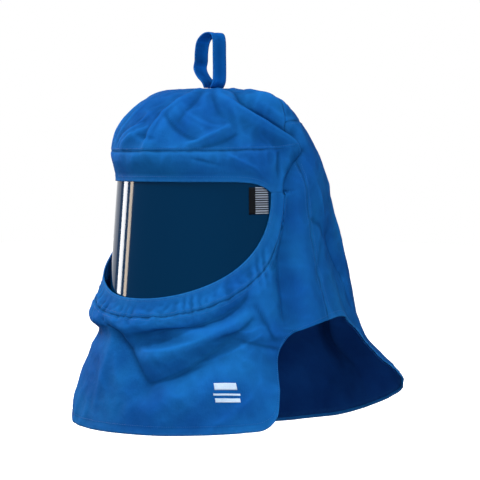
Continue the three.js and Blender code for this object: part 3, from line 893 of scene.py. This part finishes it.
row_turn = np.linspace(-side_seam_turn + 2, side_seam_turn - 2, 160)
window_row_turn = np.linspace(-window_turn + 2, window_turn - 2, 140)
row_share = np.linspace(0.01, 0.99, 240)
seam_drops = np.linspace(temple + 6, arch_drop - 4, 60)
back_turn = np.linspace(side_seam_turn + 2, 358 - side_seam_turn, 90)
topstitch("crown_topstitch", [
    cloth_row(map_at(row_turn, brow_seam(row_turn) - seam_row)),
    cloth_row(map_at(back_turn, cross_seam_drop + seam_row)),
])
topstitch("window_topstitch", [
    cloth_row(map_at(window_row_turn, window_edge(window_row_turn) - edge_row), 0.5),
    cloth_row(window_line(seam_row)(row_share), 0.4),
    cloth_row(window_line(window_band_width - seam_row)(row_share)),
    cloth_row(window_line(window_band_width + seam_row)(row_share)),
])
topstitch("hem_topstitch", [
    cloth_row(inside_edge(bib_line, front_upper, edge_row, 300), 0.6),
    cloth_row(inside_edge(drape_lower, drape_upper, edge_row, 400), 0.6),
])
topstitch("side_topstitch", [
    cloth_row(map_at(np.full(60, side * (side_seam_turn + lean)), seam_drops))
    for side in (-1, 1) for lean in (-side_row_lean, side_row_lean)
])

# Face lens: 2 mm dark tinted polycarbonate, cut a little larger than the window and bent round the
# face. It has a hard gloss coat.
lens_wall = 2
lens_reach = window_turn + degrees_wide(lens_margin)


def lens_point(turn, drop, outward):
    share = (drop - window_top) / (window_corner + window_deep - window_top)
    return np.stack((
        (lens_side + lens_flare_side * share + outward) * np.sin(np.radians(turn)),
        -(lens_front + lens_flare_front * share + outward) * np.cos(np.radians(turn)),
        cloth_wall - drop,
    ), axis=1)


def lens_place(across, down, relief):
    turn = lens_reach * np.sin((across - 0.5) * np.pi)
    drop = mix(window_edge(turn) - lens_margin, oval_drop(turn, lens_margin), down)
    return lens_point(turn, drop, relief)


tinted_gloss = bare_material("polycarbonate_tinted")
lens_spot = add_node(tinted_gloss, "ShaderNodeTexCoord").outputs["Object"]
lens_haze = add_node(
    tinted_gloss, "ShaderNodeTexNoise", {"Vector": lens_spot, "Scale": 1 / (40 * MM), "Detail": 3.0}
).outputs["Fac"]
lens_gloss = add_node(
    tinted_gloss, "ShaderNodeMapRange", {"Value": lens_haze, "To Min": 0.04, "To Max": 0.09}
).outputs["Result"]
lens_wave = add_node(
    tinted_gloss, "ShaderNodeBump", {"Height": lens_haze, "Strength": 0.2, "Distance": 0.1 * MM}
).outputs["Normal"]
lens_shader = add_node(tinted_gloss, "ShaderNodeBsdfPrincipled", {
    "Base Color": linear("#002c4e"), "Roughness": lens_gloss, "IOR": 1.58, "Specular IOR Level": 0.07,
    "Normal": lens_wave,
})
add_node(tinted_gloss, "ShaderNodeOutputMaterial", {"Surface": lens_shader.outputs["BSDF"]})
dress(
    give_wall(bent_grid("face_lens", 144, 40, lens_place), lens_wall), "lens", tinted_gloss, "lens"
)

# Lens label: a small black film stuck to the lens at the wearer's left, with plain pale bars.
label_wall = 0.4
label_turn = 64
label_span = 11.5
label_drop = 155
label_foot = 196
print_start = -6


def label_place(across, down, relief):
    turn = label_turn + label_span * across
    top = np.maximum(label_drop, window_edge(turn) + 2 * seam_gap)
    return lens_point(turn, mix(top, label_foot, down), layer_gap + label_wall + relief)


black_film = bare_material("vinyl_black_printed")
film_cut = add_node(black_film, "ShaderNodeUVMap", uv_map="cut").outputs["UV"]
film_shift = add_node(
    black_film, "ShaderNodeMapping", {"Vector": film_cut, "Location": (0.03, 0.0, 0.0)}
).outputs["Vector"]
bars = add_node(black_film, "ShaderNodeTexBrick", {
    "Vector": film_shift, "Scale": 1.0, "Color1": linear("#a7b2c3"), "Color2": linear("#7f8a9c"),
    "Mortar": linear("#0b0e14"), "Mortar Size": 0.95 * MM, "Mortar Smooth": 0.1, "Bias": 0.0,
    "Brick Width": 60 * MM, "Row Height": 3.5 * MM,
}, offset=0.0)
film_along = add_node(black_film, "ShaderNodeSeparateXYZ", {"Vector": film_cut}).outputs["X"]
film_printed = add_node(
    black_film, "ShaderNodeMath", {0: film_along, 1: print_start * MM}, operation="GREATER_THAN"
).outputs[0]
film_tone = blend(black_film, film_printed, linear("#0b0e14"), bars.outputs["Color"])
film_shader = add_node(black_film, "ShaderNodeBsdfPrincipled", {
    "Base Color": film_tone, "Roughness": 0.5, "Specular IOR Level": 0.3,
})
add_node(black_film, "ShaderNodeOutputMaterial", {"Surface": film_shader.outputs["BSDF"]})
dress(
    give_wall(bent_grid("lens_label_film", 12, 14, label_place), label_wall),
    "label", black_film, "lens_label",
)

# Bib mark: plain pale bars pressed on the cloth at the wearer's left, low on the bib.
patch_turn = 45
patch_span = 10.4
patch_drop = 443
patch_height = 28
bar_lift = 0.45
bar_wall = 0.4
pale_print = bare_material("transfer_print_pale")
print_spot = add_node(pale_print, "ShaderNodeTexCoord").outputs["Object"]
print_worn = add_node(
    pale_print, "ShaderNodeTexNoise", {"Vector": print_spot, "Scale": 1 / (1.5 * MM), "Detail": 3.0}
).outputs["Fac"]
print_tone = blend(pale_print, print_worn, linear("#a9c9ec"), linear("#dcecfb"))
print_bump = add_node(
    pale_print, "ShaderNodeBump", {"Height": print_worn, "Strength": 0.3, "Distance": 0.1 * MM}
).outputs["Normal"]
print_shader = add_node(pale_print, "ShaderNodeBsdfPrincipled", {
    "Base Color": print_tone, "Roughness": 0.6, "Normal": print_bump,
})
add_node(pale_print, "ShaderNodeOutputMaterial", {"Surface": print_shader.outputs["BSDF"]})
for bar, (first, last, top, foot) in enumerate([
    (0.08, 0.92, 0.0, 0.34), (0.0, 1.0, 0.52, 0.62), (0.04, 0.96, 0.76, 0.96),
]):
    def bar_place(across, down, relief):
        turn = patch_turn + patch_span * (mix(first, last, across) - 0.5)
        drop = patch_drop + patch_height * mix(top, foot, down)
        return cloth_point(map_at(turn, drop), -bar_lift, relief)
    piece = give_wall(bent_grid(f"bib_bar_{bar}", 24, 6, bar_place), bar_wall)
    dress(piece, "print", pale_print, *(["bib_patch"] if bar == 0 else []))

# Hanging loop: one strip of folded cloth, sewn to the crown with its two ends side by side.
loop_height = 88
loop_opening = 38
strap_width = 29
strap_wall = 2
loop_forward = 11
loop_path = np.array([
    (0.26, 0), (0.4, 0.12), (0.42, 0.34), (0.41, 0.6), (0.4, 0.84), (0.31, 0.97), (0.08, 1), (-0.22, 0.965),
    (-0.5, 0.85), (-0.6, 0.67), (-0.62, 0.5), (-0.68, 0.36), (-0.5, 0.22), (-0.2, 0.1), (-0.08, 0),
])


def loop_place(across, down, relief):
    foot = cloth_wall + layer_gap
    step = 0.005
    stations = (0, foot) + loop_path * (loop_opening, loop_height - foot)
    x, z = curve_through(stations, across).T
    tangent = curve_through(stations, across + step) - curve_through(stations, across - step)
    tangent /= np.linalg.norm(tangent, axis=1)[:, None]
    ridge = relief + strap_wall / 2
    x, z = x + tangent[:, 1] * ridge, z - tangent[:, 0] * ridge
    return np.stack((x, strap_width * (down - 0.5) - loop_forward, z), axis=1)


strap_cloth = woven_cloth(
    "aramid_strap_blue", "#084c9a", "#0c58a8", "#1d68b2", "#5aa4ee", rib=2.0, roughness=0.6, sheen=0.03,
    crumple=0.5,
)
hanging_loop = bent_grid("hanging_strap", 120, 12, loop_place, hems=("top", "bottom"))
give_wall(hanging_loop, strap_wall)
dress(hanging_loop, "strap", strap_cloth, "hanging_loop")

# Floor: a plain pale surface below the hood, which hangs just clear of it.
floor_shape = bmesh.new()
bmesh.ops.create_grid(floor_shape, x_segments=8, y_segments=8, size=6)
bmesh.ops.translate(floor_shape, vec=(0, 0, -0.64), verts=floor_shape.verts)
floor = new_piece("floor", floor_shape)
floor_paint = bpy.data.materials.new("painted_floor_pale")
floor_paint.use_nodes = True
floor_shader = floor_paint.node_tree.nodes["Principled BSDF"]
floor_shader.inputs["Base Color"].default_value = linear("#f6f6f6")
floor_shader.inputs["Roughness"].default_value = 0.9
floor_shader.inputs["Emission Color"].default_value = linear("#ffffff")
floor_shader.inputs["Emission Strength"].default_value = 0.74
floor.data.materials.append(floor_paint)
floor.visible_diffuse = False
floor.visible_glossy = False

# Studio light: a room pale above and dim below with a white backdrop, a soft light overhead, one in
# front and one at each side, and three tall lights on the wearer's right that only show in the lens.
studio = bpy.data.worlds.new("studio")
studio.use_nodes = True
studio.node_tree.nodes.clear()
around = add_node(studio, "ShaderNodeTexCoord").outputs["Generated"]
above = add_node(studio, "ShaderNodeSeparateXYZ", {"Vector": around}).outputs["Z"]
brighter = add_node(studio, "ShaderNodeMapRange", {
    "Value": above, "From Min": -0.25, "From Max": 0.45, "To Min": 0.04, "To Max": 0.56,
}).outputs["Result"]
room = add_node(
    studio, "ShaderNodeBackground", {"Color": linear("#ffffff"), "Strength": brighter}
).outputs[0]
backdrop = add_node(
    studio, "ShaderNodeBackground", {"Color": linear("#ffffff"), "Strength": 1.0}
).outputs[0]
seen = add_node(studio, "ShaderNodeLightPath").outputs["Is Camera Ray"]
choice = add_node(studio, "ShaderNodeMixShader", {"Fac": seen, 1: room, 2: backdrop}).outputs[0]
add_node(studio, "ShaderNodeOutputWorld", {"Surface": choice})
bpy.context.scene.world = studio
bpy.context.scene.view_settings.view_transform = "Standard"


def soft_light(name, turn, rise, distance, width, height, power, colour="#ffffff"):
    lamp = bpy.data.lights.new(name, "AREA")
    lamp.shape = "RECTANGLE"
    lamp.size, lamp.size_y = width, height
    lamp.energy = power
    lamp.color = linear(colour)[:3]
    light = bpy.data.objects.new(name, lamp)
    turn, rise = math.radians(turn), math.radians(rise)
    back = Vector((math.sin(turn) * math.cos(rise), -math.cos(turn) * math.cos(rise), math.sin(rise)))
    light.location = Vector((0, 0, -0.25)) + back * distance
    light.rotation_euler = (-back).to_track_quat("-Z", "Y").to_euler()
    bpy.context.scene.collection.objects.link(light)
    return light


soft_light("overhead", -24, 57, 2.2, 0.3, 0.3, 26)
for fill in (
    soft_light("front", 47, -5, 2.6, 0.4, 0.4, 37),
    soft_light("side_left", 112, 30, 2.2, 0.6, 1.2, 12),
    soft_light("side_right", -76, 6, 2.2, 0.6, 1.2, 27),
):
    fill.visible_glossy = False
for tall in (
    soft_light("tall_edge", -112, 4, 2.2, 1.5, 2.4, 9),
    soft_light("tall_cool", -78, 4, 2.2, 0.4, 2.4, 62),
    soft_light("tall_warm", -63, 4, 2.2, 0.24, 2.4, 44, "#ffe9c8"),
):
    tall.visible_diffuse = False
